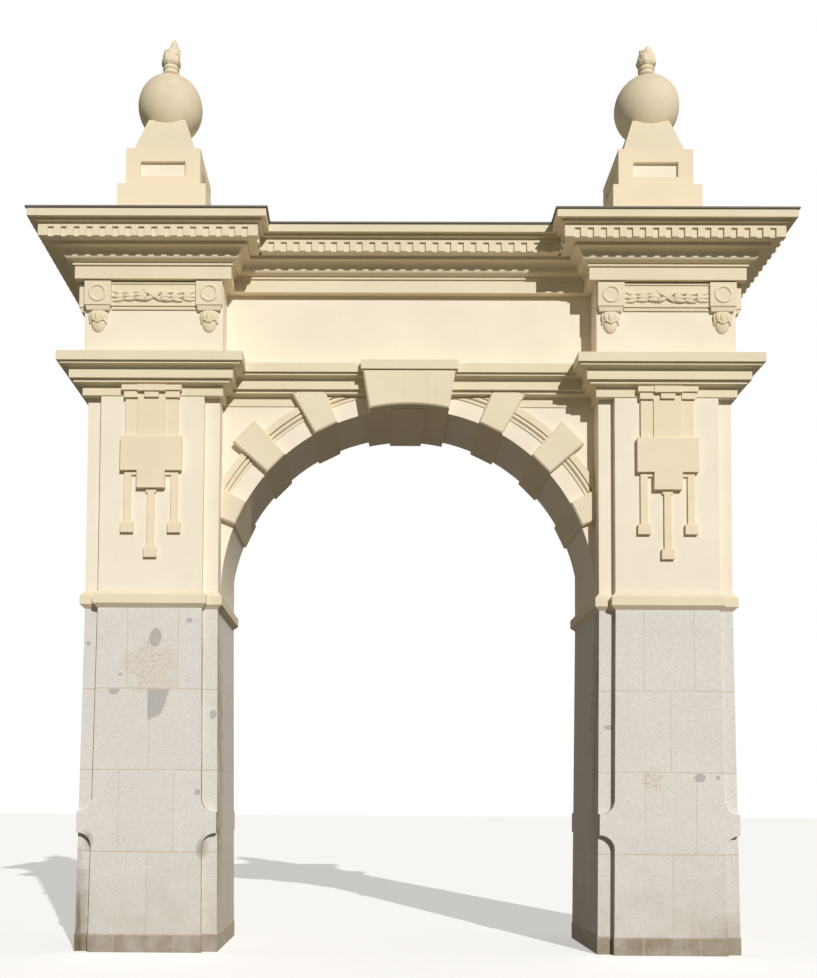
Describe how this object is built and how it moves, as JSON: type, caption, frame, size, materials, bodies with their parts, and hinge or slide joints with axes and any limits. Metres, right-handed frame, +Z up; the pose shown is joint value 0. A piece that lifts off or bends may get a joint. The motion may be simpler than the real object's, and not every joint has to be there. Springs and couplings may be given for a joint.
{
  "type": "triumphal arch",
  "caption": "Freestanding round-arched gateway: granite and plaster piers, raised arch stones, dentil cornice and ball finials.",
  "frame": {"origin": "on the ground, midway between the piers and midway through their depth", "axes": "+Z up, +X across the front to the right, +Y from the front to the back"},
  "size_m": [7.524, 2.466, 9.775],
  "materials": {
    "granite": "dressed, matte",
    "wall_plaster": "painted plaster, matte",
    "ornament_plaster": "painted plaster, matte",
    "lead_sheet": "dull"
  },
  "bodies": {
    "root": {"archivolt_back": "wall_plaster", "archivolt_front": "wall_plaster", "ball_left": "ornament_plaster", "ball_right": "ornament_plaster", "centre_cornice": "ornament_plaster", "cornice_flashing": "lead_sheet", "drop_ornament_left": "ornament_plaster", "drop_ornament_right": "ornament_plaster", "flame_finial_left": "ornament_plaster", "flame_finial_right": "ornament_plaster", "frieze_block_left": "wall_plaster", "frieze_block_right": "wall_plaster", "frieze_ornament_left": "ornament_plaster", "frieze_ornament_right": "ornament_plaster", "frieze_wall": "wall_plaster", "granite_pier_left": "granite", "granite_pier_right": "granite", "granite_plinth_left": "granite", "granite_plinth_right": "granite", "impost_left": "ornament_plaster", "impost_right": "ornament_plaster", "keystone": "ornament_plaster", "pedestal_base_left": "ornament_plaster", "pedestal_base_right": "ornament_plaster", "pedestal_block_left": "ornament_plaster", "pedestal_block_right": "ornament_plaster", "pedestal_neck_left": "ornament_plaster", "pedestal_neck_right": "ornament_plaster", "pier_capital_left": "ornament_plaster", "pier_capital_right": "ornament_plaster", "pier_cornice_left": "ornament_plaster", "pier_cornice_right": "ornament_plaster", "pier_shaft_left": "wall_plaster", "pier_shaft_right": "wall_plaster", "spandrel_left": "wall_plaster", "spandrel_right": "wall_plaster", "string_course_left": "ornament_plaster", "string_course_right": "ornament_plaster", "voussoir_low_left": "ornament_plaster", "voussoir_low_right": "ornament_plaster", "voussoir_middle_left": "ornament_plaster", "voussoir_middle_right": "ornament_plaster", "voussoir_top_left": "ornament_plaster", "voussoir_top_right": "ornament_plaster"}
  },
  "joints": []
}
